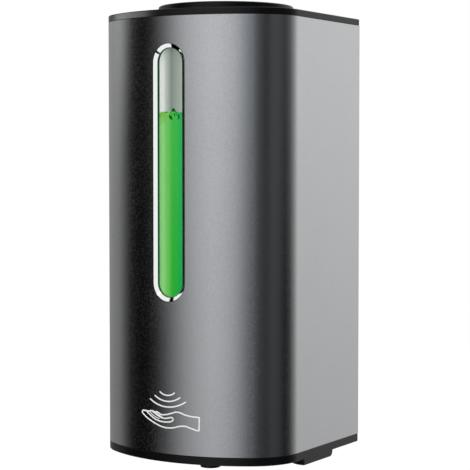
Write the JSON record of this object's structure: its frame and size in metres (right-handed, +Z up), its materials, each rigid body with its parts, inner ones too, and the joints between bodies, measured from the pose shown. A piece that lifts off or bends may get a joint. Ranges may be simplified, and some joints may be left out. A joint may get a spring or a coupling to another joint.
{
  "type": "automatic soap dispenser",
  "caption": "Wall-mounted automatic soap dispenser: D-shaped satin steel sleeve, tall sight window in a polished bezel, round filler lid, spout and infrared sensor underneath.",
  "frame": {"origin": "centre of the wall bracket's back face, on the wall", "axes": "+X to the right seen from the front, +Y into the wall, +Z up; the dispenser's front faces -Y"},
  "size_m": [0.1, 0.0958, 0.2199],
  "materials": {
    "satin_steel": "satin brushed stainless steel, fine horizontal grain",
    "polished_trim": "polished, mirror-like",
    "black_gloss": "semi-gloss black",
    "black_matte": "fine matt black",
    "clear_plastic": "clear, glossy",
    "tank_plastic": "translucent natural",
    "green_soap": "clear green liquid",
    "silicone": "matt translucent grey",
    "zinc_steel": "zinc plated",
    "pump_plastic": "natural, fine matt",
    "gear_plastic": "natural, smooth",
    "board_green": "solder mask, semi-matt",
    "chip_black": "matt",
    "infrared_plastic": "dark, glossy",
    "cell_wrap": "satin wrap"
  },
  "bodies": {
    "wall_bracket": {"wall_bracket": "black_matte"},
    "dispenser": {"shell_sleeve": "satin_steel", "back_cover": "black_matte", "top_cover": "black_gloss", "base_cover": "black_gloss", "chassis": "black_matte", "window_bezel": "polished_trim", "sight_lens": "clear_plastic", "window_gasket": "silicone", "tank": "tank_plastic", "tank_gasket": "silicone", "filler_neck": "tank_plastic", "liquid_soap": "green_soap", "pump_body": "pump_plastic", "pump_gasket": "silicone", "pump_cover": "pump_plastic", "idler_pin": "zinc_steel", "motor_can": "zinc_steel", "motor_end_cap": "black_matte", "shaft_seal": "silicone", "inlet_hose": "silicone", "outlet_hose": "silicone", "nozzle": "black_gloss", "nozzle_valve": "silicone", "control_board": "board_green", "ir_emitter": "infrared_plastic", "ir_receiver": "infrared_plastic", "control_chip": "chip_black", "capacitor": "chip_black", "board_connector": "pump_plastic", "tact_switch": "chip_black", "sensor_window": "infrared_plastic", "battery_box": "black_matte", "battery_cell_1": "cell_wrap", "battery_cell_2": "cell_wrap", "battery_cell_3": "cell_wrap", "battery_cell_4": "cell_wrap", "top_contact_left": "zinc_steel", "top_contact_middle": "zinc_steel", "top_contact_right": "zinc_steel", "door_hinge_pin": "zinc_steel", "base_screw_1": "zinc_steel", "base_screw_2": "zinc_steel", "base_screw_3": "zinc_steel", "base_screw_4": "zinc_steel", "back_screw_1": "zinc_steel", "back_screw_2": "zinc_steel", "pump_screw_1": "zinc_steel", "pump_screw_2": "zinc_steel"},
    "filler_lid": {"fill_lid": "black_gloss", "lid_seal": "silicone"},
    "push_button": {"power_button": "black_gloss", "switch_plunger": "gear_plastic"},
    "battery_door": {"battery_door": "black_gloss", "door_contact_left": "zinc_steel", "door_contact_right": "zinc_steel"},
    "motor_rotor": {"motor_shaft": "zinc_steel", "motor_armature": "zinc_steel", "drive_gear": "gear_plastic"},
    "idler_gear": {"idler_gear": "gear_plastic"}
  },
  "joints": [
    {"name": "lift_off_bracket", "type": "slide", "parent": "wall_bracket", "child": "dispenser", "axis": [0, 0, 1], "range_m": [0, 0.012]},
    {"name": "lid_lift", "type": "slide", "parent": "dispenser", "child": "filler_lid", "axis": [0, 0, 1], "range_m": [0, 0.035]},
    {"name": "button_press", "type": "slide", "parent": "dispenser", "child": "push_button", "axis": [0, 0, 1], "range_m": [0, 0.0006], "stiffness_N_per_m": 800, "springref_m": -0.0005},
    {"name": "battery_door_hinge", "type": "hinge", "parent": "dispenser", "child": "battery_door", "pos_m": [0, -0.01, -0.1262], "axis": [1, 0, 0], "range_deg": [0, 95]},
    {"name": "motor_spin", "type": "hinge", "parent": "dispenser", "child": "motor_rotor", "pos_m": [-0.006, -0.0478, -0.1], "axis": [0, 0, 1], "continuous": true},
    {"name": "idler_spin", "type": "hinge", "parent": "dispenser", "child": "idler_gear", "pos_m": [0.006, -0.0478, -0.1], "axis": [0, 0, 1], "continuous": true}
  ],
  "couplings": [
    {"joint": "idler_spin", "follows": "motor_spin", "ratio": -1}
  ]
}
